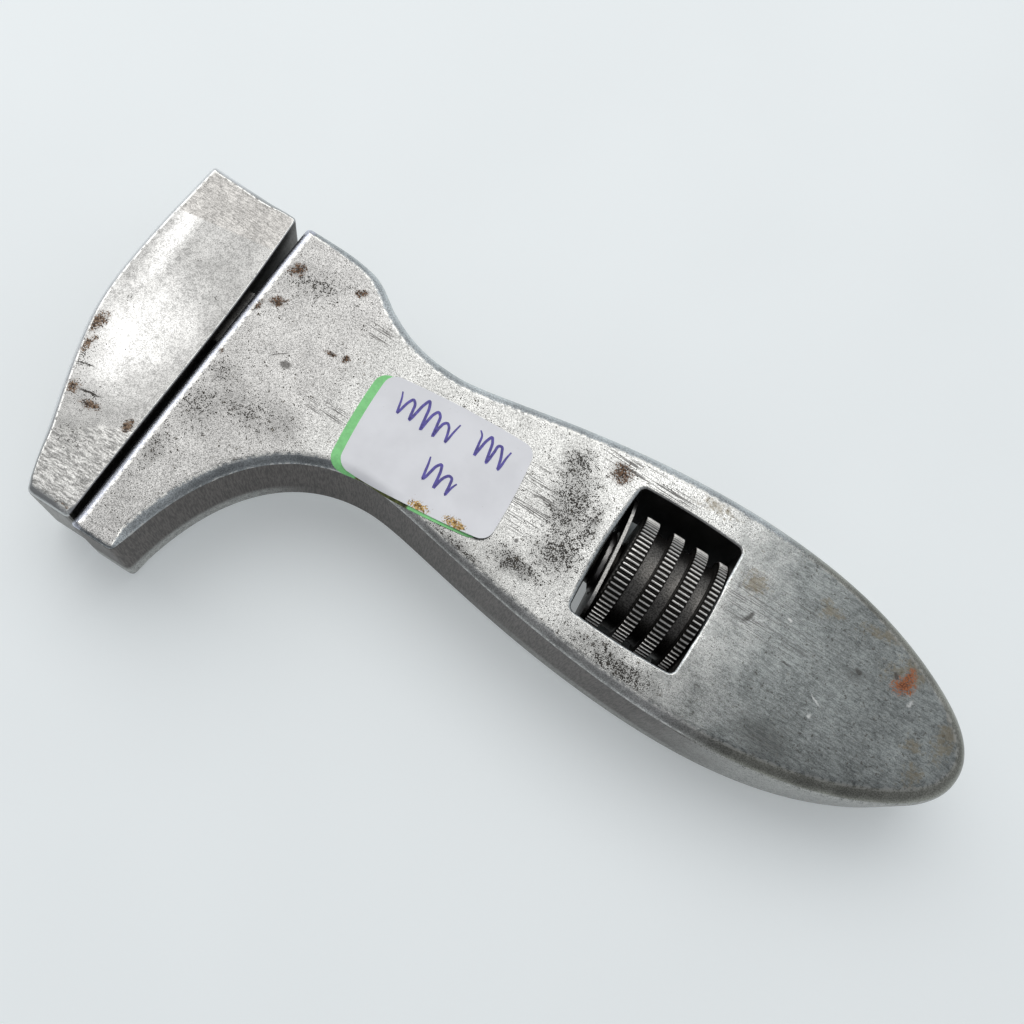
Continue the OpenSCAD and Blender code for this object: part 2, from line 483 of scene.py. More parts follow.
def jaw_fall(xy):
    """The ground flat at the jaw's back end and the slight fall towards its tip."""
    heel = np.maximum(0, HEEL_Y + HEEL_SLOPE * xy[:, 0] - xy[:, 1]) * 0.03
    tip = np.maximum(0, xy[:, 1] - 14) * 0.02
    return heel + tip


def jaw_relief(xy, side):
    return 0.04 * (bumps(xy, 9, 5.3 * side) - 0.5) + 0.012 * bumps(xy, 3, 2.9 * side)


RIDGE_HALF_WIDTH = 0.72  # of the thread's ridge at its foot
RIDGE_FLANK = 0.5


def thread_ridge(x, angles, ridge_x):
    """Height of the round-crested ridge, from 0 in the groove to 1 on the crest."""
    turn = (x - ridge_x) / THREAD_PITCH - angles / (2 * math.pi)
    away = np.abs(turn - np.round(turn)) * THREAD_PITCH
    return ease(np.clip((RIDGE_HALF_WIDTH - away) / RIDGE_FLANK, 0, 1))


RIDGE_X = jaw_low[0] + 0.6  # the ridge's first turn crosses +Y here
SHANK_END = window_high[0] + 1.15


def screw_radius(x, angles):
    root = THREAD_D / 2 - THREAD_DEPTH
    start = np.clip((x - jaw_low[0]) / 1.2, 0, 1)
    return (root - 0.3 + 0.3 * start) + THREAD_DEPTH * thread_ridge(x, angles, RIDGE_X) * start


vertices, faces = plate(jaw_outline, jaw_rim, [], None, half_thickness, jaw_relief, jaw_fall)
moving_jaw = mesh_piece("moving_jaw_steel", vertices, faces)
side = SHANK_SIDE / 2
shank = box_solid("shank", (SHANK_END, -side, -side), (jaw_face_x + 3, side, side), 0.25)
screw = turned("screw", np.arange(jaw_low[0], SHANK_END + 0.6, 0.1), screw_radius, 72, 60)
boolean(shank, screw, "UNION")
boolean(moving_jaw, shank, "UNION")

# ------------------------ adjusting nut


def nut_profile():
    """Stations along the nut with the plain radius and the height of the knurl's teeth at each."""
    ring, groove = nut_high[2], NUT_GROOVE_D / 2
    chamfer, tooth = 0.07, 0.27
    length = nut_high[0] - nut_low[0]
    rows = []
    for i, (start, end) in enumerate(NUT_RINGS):
        end = min(end, length)
        if i:
            rows += [(start - 0.12, groove, 0), (start - 0.02, groove + 0.12, 0)]
        wide = 0.25 if i == len(NUT_RINGS) - 1 else chamfer
        rows += [(start, ring - chamfer - tooth, 0), (start + chamfer, ring - tooth, 0.75 * tooth)]
        rows += [(x, ring - tooth, tooth) for x in np.linspace(start + 1.6 * chamfer, end - 1.6 * wide, 4)]
        rows += [(end - wide, ring - tooth, 0.75 * tooth), (end, ring - wide - tooth, 0)]
        if i < len(NUT_RINGS) - 1:
            following = NUT_RINGS[i + 1][0]
            middle = (end + following) / 2
            rows += [(end + 0.02, groove + 0.12, 0), (end + 0.12, groove, 0), (middle, groove - 0.06, 0)]
    return rows


SAMPLES_PER_TOOTH = 8


def nut_mesh():
    """Vertices and faces of the knurled and tapped nut; the faces are wound inwards, as in turned()."""
    steps = NUT_TEETH * SAMPLES_PER_TOOTH
    angles = 2 * math.pi * np.arange(steps) / steps
    phase = (np.arange(steps) % SAMPLES_PER_TOOTH) / SAMPLES_PER_TOOTH
    crest = np.clip(0.75 - 0.75 * np.cos(2 * math.pi * phase) - 0.35, 0, 1)
    vertices, rings = [], []
    for x, radius, tooth in nut_profile():
        rings.append(np.arange(steps) + len(rings) * steps)
        vertices.append(ring_points(nut_low[0] + x, radius + tooth * crest, angles))
    faces = [f[::-1] for f in tube(rings)]
    used = len(rings) * steps
    bore = 2 * math.pi * np.arange(NUT_TEETH) / NUT_TEETH
    inner = []
    ridge_x = RIDGE_X + THREAD_PITCH / 2
    for x in np.linspace(nut_low[0], nut_high[0], 64):
        ridge = thread_ridge(x, bore, ridge_x) * np.clip(min(x - nut_low[0], nut_high[0] - x) / 0.8, 0, 1)
        r = THREAD_D / 2 + THREAD_GAP - THREAD_DEPTH * ridge
        inner.append(np.arange(NUT_TEETH) + used)
        used += NUT_TEETH
        vertices.append(ring_points(x, r, bore))
    faces += tube(inner)
    for outer, ring, flip in ((rings[0], inner[0], False), (rings[-1], inner[-1], True)):
        for j in range(NUT_TEETH):
            k = (j + 1) % NUT_TEETH
            fan = [outer[(SAMPLES_PER_TOOTH * j + n) % steps] for n in range(SAMPLES_PER_TOOTH + 1)]
            face = [ring[j], *fan, ring[k]]
            faces.append(face[::-1] if flip else face)
    return np.concatenate(vertices), faces


nut = mesh_piece("knurled_nut", *nut_mesh(), sharp=28)

# ------------------------ thin sheets


def sheet(name, outline, holes, place, thickness, spacing=0.45):
    """A thin sheet inside an outline drawn in two coordinates, u and v.

    place(uv, h) gives the points of the sheet that lie h above its underside.
    """
    loops = [outline, *holes]
    inner = grid_points(outline, spacing)
    keep = between_loops(inner, outline, holes)
    for loop in loops:
        keep &= distance(inner, loop)[0] > 0.5 * spacing
    points = np.concatenate([*loops, inner[keep]])
    fences, first = [], 0
    for loop in loops:
        fences += ring_edges(np.arange(first, first + len(loop)))
        first += len(loop)
    uv, triangles, _ = triangulated(points, fences, outline, holes)
    total = len(uv)
    vertices = np.r_[place(uv, thickness), place(uv, 0)]
    faces = triangles + [[i + total for i in reversed(t)] for t in triangles]
    faces += [[a, a + total, b + total, b] for a, b in fences]
    return mesh_piece(name, vertices, faces)


def circle(radius, steps=64):
    angles = -2 * math.pi * np.arange(steps) / steps
    return radius * np.c_[np.cos(angles), np.sin(angles)]


def cubic(p0, p1, p2, p3, t):
    u = 1 - t
    return u**3 * p0 + 3 * t * u**2 * p1 + 3 * t**2 * u * p2 + t**3 * p3


plate_low, plate_high = node_span("spring_plate")
PLATE_CORNER = 3.0


def rounded_rectangle(half_u, half_v, radius):
    corners = [(1, -1, -90), (1, 1, 0), (-1, 1, 90), (-1, -1, 180)]
    points = []
    for su, sv, start in corners:
        u, v = su * (half_u - radius), sv * (half_v - radius)
        for a in np.radians(start + np.linspace(0, 90, 13)):
            points.append((u + radius * math.cos(a), v + radius * math.sin(a)))
    return smooth_loop(np.array(points), 0.1, 0.4)


def plate_place(yz, h):
    """The bowed sheet: flat against the nut at the mouth side, curled up to the window's end at the back."""
    bow = plate_high[0] - plate_low[0] - PLATE_T
    t = (plate_high[1] - yz[:, 0]) / (plate_high[1] - plate_low[1])
    return np.c_[plate_low[0] + bow * cubic(0, 0.23, 0.4, 1, t) + h, yz]


spring = sheet("bowed_plate", rounded_rectangle(plate_high[1], plate_high[2], PLATE_CORNER),
               [circle(THREAD_D / 2 + 0.3)], plate_place, PLATE_T)

outline_rim = body_rim(body_outline)


def body_height(xy):
    """Height of the body's front surface, its rounded rim included."""
    gap, near = distance(xy, body_outline)
    inset, drop, crease = (row[near] for row in outline_rim)
    lean = np.clip(1 - gap / inset, 0, 1) * np.cos(crease)
    fade = ease(np.clip(gap / (inset + RELIEF_FADE), 0, 1))
    below = drop * (1 - np.sqrt(1 - lean**2)) / (1 - np.sin(crease))
    return half_thickness - below + body_relief(xy, 1) * fade


def label_outline(node):
    return smooth_loop(oriented(front_loops(node)[0]), 0.1, 0.35)


def lower_place(xy, h):
    return np.c_[xy, body_height(xy) + 0.004 + h]


LOOSE_CORNER = (-34.6, 7.0)  # of the upper label


def upper_place(xy, h):
    """Stuck down, apart from the one corner that has come up a little."""
    away = np.linalg.norm((xy - LOOSE_CORNER) * (0.55, 1), axis=1)
    lift = 0.3 * np.clip(1 - away / 3.4, 0, 1) ** 1.5
    return np.c_[xy, body_height(xy) + 0.01 + LABEL_T + lift + h]


SHEET_T = 0.09  # of each label's sheet, a little under LABEL_T
green_label = sheet("green_label", label_outline("lower_label"), [], lower_place, SHEET_T)
white_label = sheet("white_label", label_outline("upper_label"), [], upper_place, SHEET_T)

PEN_WIDTH, PEN_HEIGHT = 0.3, 0.03


def pen_stroke(points):
    """Vertices and faces of a thin ribbon of ink along a smooth line on the upper label."""
    line = spline(np.array(points, float), 0.12)
    along = np.gradient(line, axis=0)
    across = np.c_[-along[:, 1], along[:, 0]] / np.linalg.norm(along, axis=1)[:, None]
    t = np.linspace(0, 1, len(line))
    half = PEN_WIDTH / 2 * (1 - 0.5 * (2 * t - 1) ** 6)[:, None]
    left, right = line + across * half, line - across * half
    foot, top = SHEET_T - 0.005, SHEET_T + PEN_HEIGHT
    corners = ((left, foot), (left, top), (right, top), (right, foot))
    vertices = np.stack([upper_place(*corner) for corner in corners], 1).reshape(-1, 3)
    rings = [np.arange(4) + 4 * i for i in range(len(line))]
    return vertices, tube(rings) + [list(rings[0][::-1]), list(rings[-1])]


def scrawl(start, step, waves, height, seed):
    """Points of an unreadable wavy pen line from start, each wave a step further on."""
    start, step = np.array(start), np.array(step)
    rise = np.array([-step[1], step[0]]) / np.linalg.norm(step)
    rows = []
    for t in np.arange(0, waves, 0.125):
        wobble = noise.noise(Vector((1.7 * t, 0.5, seed)))
        forward = t + 0.1 * math.sin(2 * math.pi * t) + 0.1 * wobble
        up = 0.5 * math.cos(2 * math.pi * t) * (1 + 0.9 * wobble) + 0.2 * wobble
        rows.append(start + step * forward + rise * height * up)
    return rows


def add_ink(label, strokes):
    """The strokes as part of the label's own mesh, in its second material."""
    mesh = bmesh.new()
    mesh.from_mesh(label.data)
    for vertices, faces in strokes:
        made = [mesh.verts.new(v * MM) for v in vertices]
        for face in faces:
            mesh.faces.new([made[i] for i in face]).material_index = 1
    mesh.to_mesh(label.data)
    mesh.free()


INK = [scrawl((-19.2, -0.9), (-1.45, -0.08), 5, 2.6, 1.0), scrawl((-28.3, -1.6), (-1.4, -0.12), 3, 2.4, 4.0),
       scrawl((-25.4, 3.6), (-1.4, 0.02), 3, 2.3, 7.0)]


# ------------------------ shader graphs


class Graph:
    """A material's node tree, built up in layers.

    cover() lays one layer over the others, and done() joins them to the shader. Places are in mm.
    """

    def __init__(self, name, colour, roughness, metallic=1.0):
        self.material = bpy.data.materials.new(name)
        self.material.use_nodes = True
        self.nodes = self.material.node_tree.nodes
        self.nodes.clear()
        self.shader = self.nodes.new("ShaderNodeBsdfPrincipled")
        out = self.nodes.new("ShaderNodeOutputMaterial")
        self.link(self.shader.outputs["BSDF"], out.inputs["Surface"])
        coordinates = self.nodes.new("ShaderNodeTexCoord")
        self.place = self.scaled(coordinates.outputs["Object"], (1 / MM,) * 3)
        self.x, self.y, self.z = self.split(self.place)
        self.lean_x, self.lean_y, self.lean_z = self.split(coordinates.outputs["Normal"])
        self.colour, self.roughness, self.metallic = colour, roughness, metallic
        self.height = None

    def link(self, source, target):
        self.material.node_tree.links.new(source, target)

    def put(self, value, socket):
        if isinstance(value, bpy.types.NodeSocket):
            self.link(value, socket)
        elif isinstance(value, (tuple, list)) and socket.type == "RGBA":
            socket.default_value = (*value, 1)
        else:
            socket.default_value = value

    def vector(self, operation, *values):
        node = self.nodes.new("ShaderNodeVectorMath")
        node.operation = operation
        for value, socket in zip(values, node.inputs):
            self.put(value, socket)
        return node.outputs["Value" if operation == "LENGTH" else "Vector"]

    def scaled(self, vector, factors):
        return self.vector("MULTIPLY", vector, factors)

    def split(self, vector):
        node = self.nodes.new("ShaderNodeSeparateXYZ")
        self.link(vector, node.inputs[0])
        return list(node.outputs)

    def math(self, operation, *values):
        node = self.nodes.new("ShaderNodeMath")
        node.operation = operation
        for value, socket in zip(values, node.inputs):
            self.put(value, socket)
        return node.outputs[0]

    def folded(self, operation, values):
        total = values[0]
        for value in values[1:]:
            total = self.math(operation, total, value)
        return total

    def add(self, *values):
        return self.folded("ADD", values)

    def times(self, *values):
        return self.folded("MULTIPLY", values)

    def most(self, *values):
        return self.folded("MAXIMUM", values)

    def size(self, value):
        return self.math("ABSOLUTE", value)

    def ramp(self, value, low, high, start=0.0, end=1.0):
        """value mapped smoothly from low..high to start..end; low may be the greater."""
        node = self.nodes.new("ShaderNodeMapRange")
        node.interpolation_type = "SMOOTHSTEP"
        if low > high:
            low, high, start, end = high, low, end, start
        for number, socket in zip((value, low, high, start, end), node.inputs):
            self.put(number, socket)
        return node.outputs[0]

    def between(self, value, low, high, soft):
        """1 where low < value < high."""
        above = self.ramp(value, low - soft, low + soft)
        return self.times(above, self.ramp(value, high + soft, high - soft))

    def mix(self, factor, a, b):
        node = self.nodes.new("ShaderNodeMix")
        node.data_type = "RGBA"
        for value, socket in zip((factor, a, b), (node.inputs[0], node.inputs[6], node.inputs[7])):
            self.put(value, socket)
        return node.outputs[2]

    def blend(self, factor, a, b):
        node = self.nodes.new("ShaderNodeMix")
        for value, socket in zip((factor, a, b), (node.inputs[0], node.inputs[2], node.inputs[3])):
            self.put(value, socket)
        return node.outputs[0]

    def noise(self, size, detail=2.0, roughness=0.5, stretch=(1, 1, 1), place=None, output="Fac"):
        """Noise with a grain of about size mm, drawn out along an axis where stretch is over 1."""
        node = self.nodes.new("ShaderNodeTexNoise")
        scaled = self.scaled(place or self.place, tuple(1 / (size * s) for s in stretch))
        self.link(scaled, node.inputs["Vector"])
        node.inputs["Scale"].default_value = 1
        node.inputs["Detail"].default_value = detail
        node.inputs["Roughness"].default_value = roughness
        return node.outputs[output]

    def warped(self, size, amount):
        """Places pushed about by noise, for edges that aren't even."""
        cells = self.noise(size, 3, 0.6, output="Color")
        push = self.vector("MULTIPLY_ADD", cells, (2 * amount,) * 3, (-amount,) * 3)
        return self.vector("ADD", push, self.place)

    def spot(self, place, x, y, width, height, turn=0, soft=0.5):
        """1 inside an oval on the front face, turned by so many degrees, and 0 outside it."""
        node = self.nodes.new("ShaderNodeMapping")
        node.vector_type = "TEXTURE"
        self.link(place, node.inputs["Vector"])
        node.inputs["Location"].default_value = (x, y, 0)
        node.inputs["Rotation"].default_value = (0, 0, math.radians(turn))
        node.inputs["Scale"].default_value = (width / 2, height / 2, 1e6)
        return self.ramp(self.vector("LENGTH", node.outputs[0]), 1 + soft, 1 - soft)

    def spots(self, place, ovals, soft=0.5):
        """Every oval of a list, on the front half of the piece only."""
        marks = self.most(*[self.spot(place, *oval, soft=soft) for oval in ovals])
        return self.times(marks, self.ramp(self.z, 1, 2))

    def cover(self, mask, colour=None, roughness=None, metallic=None):
        if colour is not None:
            self.colour = self.mix(mask, self.colour, colour)
        if roughness is not None:
            self.roughness = self.blend(mask, self.roughness, roughness)
        if metallic is not None:
            self.metallic = self.blend(mask, self.metallic, metallic)

    def shade(self, factor):
        """Multiplies the colour by a number that varies over the surface."""
        node = self.nodes.new("ShaderNodeVectorMath")
        node.operation = "SCALE"
        self.put(self.colour, node.inputs[0])
        self.put(factor, node.inputs["Scale"])
        self.colour = node.outputs[0]

    def done(self, depth):
        """Joins the layers to the shader, with a relief of so many mm."""
        sockets = self.shader.inputs
        self.put(self.colour, sockets["Base Color"])
        self.put(self.roughness, sockets["Roughness"])
        self.put(self.metallic, sockets["Metallic"])
        bump = self.nodes.new("ShaderNodeBump")
        bump.inputs["Distance"].default_value = depth * MM
        self.link(self.height, bump.inputs["Height"])
        self.link(bump.outputs["Normal"], sockets["Normal"])
        return self.material


# ------------------------ steel

PIT = (0.05, 0.047, 0.043)
# Near-black painted shade for recesses and for the slot between the jaws
RECESS_SHADE = (0.012, 0.011, 0.010)

# Stretches along the wrench, in x, over which the steel changes
HEAD_TO_NECK = (-11, -17)
NECK_TO_WINDOW = (-30, -50)
WINDOW_TO_BUTT = (-46, -61)
LABEL_STRETCH = (-18, -24)
LABEL_RIM = (-16, -24)
BEHIND_LABEL = (-18, -34)
RIM_TO_BUTT = (-58, -68)
# Over this stretch the side walls' painted shade gives way to painted reflection
WALL_SHADE_TO_LIGHT = (-48, -66)

# Marks on the body's front face: x, y, width, height and, where it is turned, by how many degrees
BODY_RUST = [(-2.2, -7.5, 1.6, 1.2, 60), (-9.3, -9.1, 1.2, 0.7, 40), (-2.6, -3.3, 1.5, 0.9, 30),
             (-0.9, -1.5, 0.7, 1.8, -20), (-10.6, -1.5, 1.0, 0.5), (-12.2, -1.9, 0.7, 0.7),
             (-1.0, 4.6, 0.6, 0.5, 30), (-43.1, -7.7, 1.9, 1.8)]
BODY_ORANGE = [(-79.4, -4.4, 2.0, 1.5, 30), (-79.6, -5.6, 1.0, 1.6)]
BODY_GRIME = [(-3.0, 10.8, 4.4, 4.6), (-6.8, 8.6, 6.4, 4.0), (-10.4, 8.2, 4.8, 3.4, 10),
              (-2.6, 6.6, 3.4, 3.0), (-2.0, 17.0, 2.4, 5.0), (-4.5, -7.0, 6.0, 3.6, 20),
              (-43.3, -0.6, 1.6, 5.0), (-38.7, -5.9, 3.0, 4.0), (-40.6, -1.5, 4.4, 8.0, 12),
              (-42.0, 3.2, 4.6, 4.6), (-39.0, 7.0, 5.0, 1.8, -5), (-52.5, 10.2, 9.0, 2.2, -3),
              (-68.9, 8.4, 5.0, 3.0), (-74.5, -2.4, 2.4, 1.4), (-32.0, 9.3, 8.0, 2.0)]
BODY_NICKS = [(-7.4, 2.2, 1.3, 0.8, 20), (-6.2, 1.6, 1.8, 0.14, 40), (-62.0, -1.8, 0.5, 1.6, -20),
              (-67.6, 0.4, 0.9, 0.2, 10), (-74.6, -3.2, 0.8, 0.4), (-37.6, 4.8, 0.4, 0.4),
              (-9.5, 13.5, 0.8, 0.4), (-78.3, -5.0, 0.5, 0.9, 30)]
BODY_GLINTS = [(-72.2, 3.7, 0.5, 0.4), (-80.8, -3.2, 0.9, 0.3, 60), (-65.9, -3.9, 0.5, 0.3),
               (-72.0, 1.9, 1.4, 0.2, -30)]
BODY_FILED = [(-36.9, 0.2, 5.4, 8.6), (-13.2, 3.6, 6.0, 2.6), (-13.5, -6.4, 3.6, 2.0),
              (-64.0, -3.4, 12.0, 7.0), (-46.0, -8.5, 12.0, 3.0)]
BODY_TINTS = [(-79.6, -6.4, 6.0, 4.0, 40), (-69.2, -7.3, 2.6, 1.6), (-83.0, 0.6, 2.6, 1.8),
              (-76.0, -8.6, 7.0, 1.6, 25), (-85.5, -2.0, 2.4, 6.0), (-61.0, -5.4, 3.0, 2.4),
              (-53.5, -10.3, 4.0, 1.6), (-84.2, 3.4, 3.0, 2.4)]


def grain(g):
    """Fine grain, coarser grain, broad clouds, these three together, and fine brushing along the wrench."""
    fine, coarse, cloud = g.noise(0.13, 1, 0.6), g.noise(0.5, 3, 0.65), g.noise(4, 3, 0.6)
    level = g.add(g.times(fine, 0.62), g.times(coarse, 0.38), g.times(cloud, 0.1))
    return fine, coarse, cloud, level, g.noise(0.14, 2, 0.5, stretch=(5, 1, 1))


def eaten(g, level, marks, pull, full=0.68):
    """Where rust has eaten in: inside the marks, and there mostly where the grain is high."""
    return g.times(g.ramp(g.add(level, g.times(marks, pull)), 0.58, full), g.ramp(marks, 0.0, 0.3))


def darken_grip(g, mask, level):
    """Darker steel with grain, for the two gripping faces, partly as painted shade for the slot between the
    jaws.
    """
    g.cover(mask, g.mix(g.ramp(level, 0.4, 0.62), (0.045, 0.04, 0.036), (0.13, 0.125, 0.118)), 0.42)


def body_steel():
    g = Graph("worn_body_steel", (0.40, 0.395, 0.385), 0.26)
    ragged, torn = g.warped(0.8, 0.35), g.warped(2.5, 1.1)
    fine, coarse, cloud, level, brushed = grain(g)
    # Partly painted highlight and shade: the steel is lightest from the neck to the window, where the
    # softbox's reflection is strongest, and darker at the head and at the butt
    butt = g.ramp(g.add(g.x, g.times(cloud, 12)), *WINDOW_TO_BUTT)
    g.cover(g.ramp(g.x, *HEAD_TO_NECK), (0.49, 0.49, 0.475))
    g.cover(g.ramp(g.x, *NECK_TO_WINDOW), (0.66, 0.66, 0.64))
    g.cover(butt, (0.315, 0.335, 0.328), 0.3)
    g.shade(g.blend(butt, g.ramp(fine, 0.3, 0.7, 0.5, 1.5), g.ramp(fine, 0.3, 0.7, 0.74, 1.26)))
    g.shade(g.blend(butt, 1.0, g.ramp(brushed, 0.32, 0.68, 0.78, 1.22)))
    g.shade(g.ramp(coarse, 0.3, 0.7, 0.84, 1.16))
    g.shade(g.ramp(cloud, 0.3, 0.7, 0.84, 1.16))
    # Painted shade: from the label back, the face darkens towards the mouth side, as a curved face would
    g.shade(g.blend(g.ramp(g.x, *LABEL_STRETCH), 1.0, g.ramp(g.y, 1, 9, 1.0, 0.74)))

    grime = g.spots(torn, BODY_GRIME, 0.9)
    soiled = g.times(grime, g.ramp(g.x, *BEHIND_LABEL, 0.06, 0.11))
    pits = g.ramp(g.add(level, soiled), 0.62, 0.67)
    g.shade(g.blend(grime, 1.0, g.ramp(g.x, *BEHIND_LABEL, 0.93, 0.84)))
    g.cover(g.times(pits, g.blend(butt, 1.0, 0.5)), PIT, 0.5)
    specks = g.times(g.ramp(g.noise(0.4, 2, 0.6), 0.63, 0.68), butt, 0.7)
    g.cover(specks, (0.09, 0.085, 0.075), 0.5)

    filed = g.noise(0.13, 1, 0.5, stretch=(30, 1, 1))
    lines = g.times(g.ramp(filed, 0.57, 0.63), g.spots(ragged, BODY_FILED, 0.4), g.blend(butt, 0.85, 0.55))
    g.cover(lines, (0.12, 0.115, 0.11), 0.45)
    tint = g.ramp(g.add(g.times(g.spots(torn, BODY_TINTS, 0.9), 0.35), coarse), 0.62, 0.9)
    g.cover(g.times(tint, 0.55), (0.22, 0.175, 0.10), 0.45)
    g.cover(g.times(g.spots(ragged, BODY_NICKS, 0.4), 0.75), (0.08, 0.075, 0.07), 0.5)
    g.cover(g.times(g.spots(ragged, BODY_GLINTS, 0.6), 0.6), (0.9, 0.9, 0.88), 0.35)

    brown = g.mix(g.ramp(g.noise(0.22, 2, 0.6), 0.4, 0.6), (0.035, 0.022, 0.014), (0.22, 0.125, 0.07))
    g.cover(eaten(g, level, g.spots(ragged, BODY_RUST, 0.9), 0.18), brown, 0.8, 0.15)
    orange = g.mix(g.ramp(fine, 0.4, 0.6), (0.12, 0.04, 0.02), (0.42, 0.15, 0.06))
    g.cover(eaten(g, level, g.spots(ragged, BODY_ORANGE, 0.9), 0.2, 0.70), orange, 0.8, 0.1)

    flat = g.size(g.lean_z)
    rim = g.between(flat, 0.5, 0.972, 0.015)
    # Partly painted reflection: the rims' colours follow what they would mirror, bluish-white along the
    # gripping face, lighter on the back side than on the mouth side, and dark at the butt
    mouth_side = g.ramp(g.lean_y, 0.1, 0.3)
    grip_rim = g.ramp(g.x, -1.35, -1.1)
    mouth_rim = g.mix(g.ramp(g.x, *LABEL_RIM), (0.35, 0.37, 0.38), (0.47, 0.47, 0.46))
    grey_rim = g.mix(mouth_side, (0.52, 0.55, 0.56), mouth_rim)
    grey_rim = g.mix(g.ramp(g.x, *RIM_TO_BUTT), grey_rim, (0.27, 0.27, 0.24))
    g.cover(rim, g.mix(grip_rim, grey_rim, (0.64, 0.66, 0.74)), g.blend(mouth_side, 0.27, 0.38))
    g.shade(g.blend(rim, 1.0, g.times(g.ramp(fine, 0.3, 0.7, 0.7, 1.3), g.ramp(cloud, 0.3, 0.7, 0.8, 1.2))))
    # Painted highlight: a bright, broken line where the rim starts to round off
    rim_highlight = g.times(g.between(flat, 0.945, 0.988, 0.01), g.ramp(coarse, 0.46, 0.52), g.blend(butt, 1.0, 0.25))
    g.cover(rim_highlight, (0.85, 0.84, 0.80), 0.22)
    # Painted highlight: a broken light line where the rim meets the wall, short of the butt
    edge = g.times(g.between(flat, 0.5, 0.62, 0.04), g.ramp(coarse, 0.52, 0.58), g.ramp(g.x, -66, -60))
    g.cover(edge, (0.66, 0.66, 0.64), 0.3)

    # Painted shade and reflection: the side walls are dark, with file marks across them, and lighter, as if
    # mirroring the pale ground, towards the butt and low down beside the fixed jaw's mouth
    wall = g.ramp(flat, 0.58, 0.48)
    across = g.noise(0.14, 2, 0.6, stretch=(1, 1, 10))
    wall_in_shade = g.mix(g.ramp(across, 0.36, 0.64), (0.06, 0.052, 0.047), (0.145, 0.127, 0.118))
    wall_in_light = g.mix(g.ramp(level, 0.4, 0.62), (0.16, 0.16, 0.155), (0.50, 0.50, 0.48))
    under_head = g.times(g.ramp(g.z, -2.2, -3.6), g.ramp(g.y, 9, 14))
    wall_light_share = g.most(g.ramp(g.add(g.x, g.times(cloud, 14)), *WALL_SHADE_TO_LIGHT), under_head)
    g.cover(wall, g.mix(wall_light_share, wall_in_shade, wall_in_light), 0.42)
    darken_grip(g, g.times(wall, g.ramp(g.x, -0.1, -0.03)), level)

    margin = 0.1
    window = g.times(g.between(g.x, window_low[0] - margin, window_high[0] + margin, 0.02),
                     g.between(g.y, window_low[1] - margin, window_high[1] + margin, 0.02))
    hollow = g.times(g.ramp(g.most(g.size(g.y), g.size(g.z)), mortise + 0.25, mortise + 0.15),
                     g.ramp(g.x, bore_end - 1, bore_end - 0.5))
    # Painted shade: near-black on the window's walls and inside the hollow for the shank and screw
    g.cover(g.most(hollow, g.times(wall, window)), RECESS_SHADE, 0.55, 0.6)
    relief = g.add(g.times(fine, 0.7), coarse, g.times(brushed, 0.4))
    g.height = g.add(relief, g.times(lines, -0.4), g.times(pits, -0.4))
    return g.done(0.013)


JAW_RUST = [(10.9, 9.1, 1.3, 2.2, -10), (10.4, 12.2, 0.8, 2.6, -15), (8.6, 16.2, 1.3, 1.2),
            (5.9, 16.8, 1.8, 0.8, 10), (1.6, 26.8, 1.4, 0.6, -10), (10.7, 14.6, 0.8, 1.4, -15),
            (1.5, 16.6, 0.8, 1.2)]
JAW_GRIME = [(6.6, -2.3, 0.9, 0.7), (4.7, -2.9, 0.7, 0.5), (2.8, 0.2, 0.9, 1.4), (10.0, 5.1, 0.9, 1.2),
             (10.0, 13.4, 3.0, 6.0, -15), (7.2, 16.4, 6.0, 3.0), (5.5, 20.5, 5.0, 3.0)]
JAW_SCRATCHES = [(6.7, 15.8, 2.2, 0.22, 12), (11.1, 11.6, 1.2, 0.2, 30), (9.0, 13.6, 1.6, 0.2, 20)]
# Painted highlights on the moving jaw's face
JAW_HIGHLIGHTS = [(7.2, 8.2, 8.0, 12.0, -8), (10.4, -3.0, 2.2, 13.0, 4)]


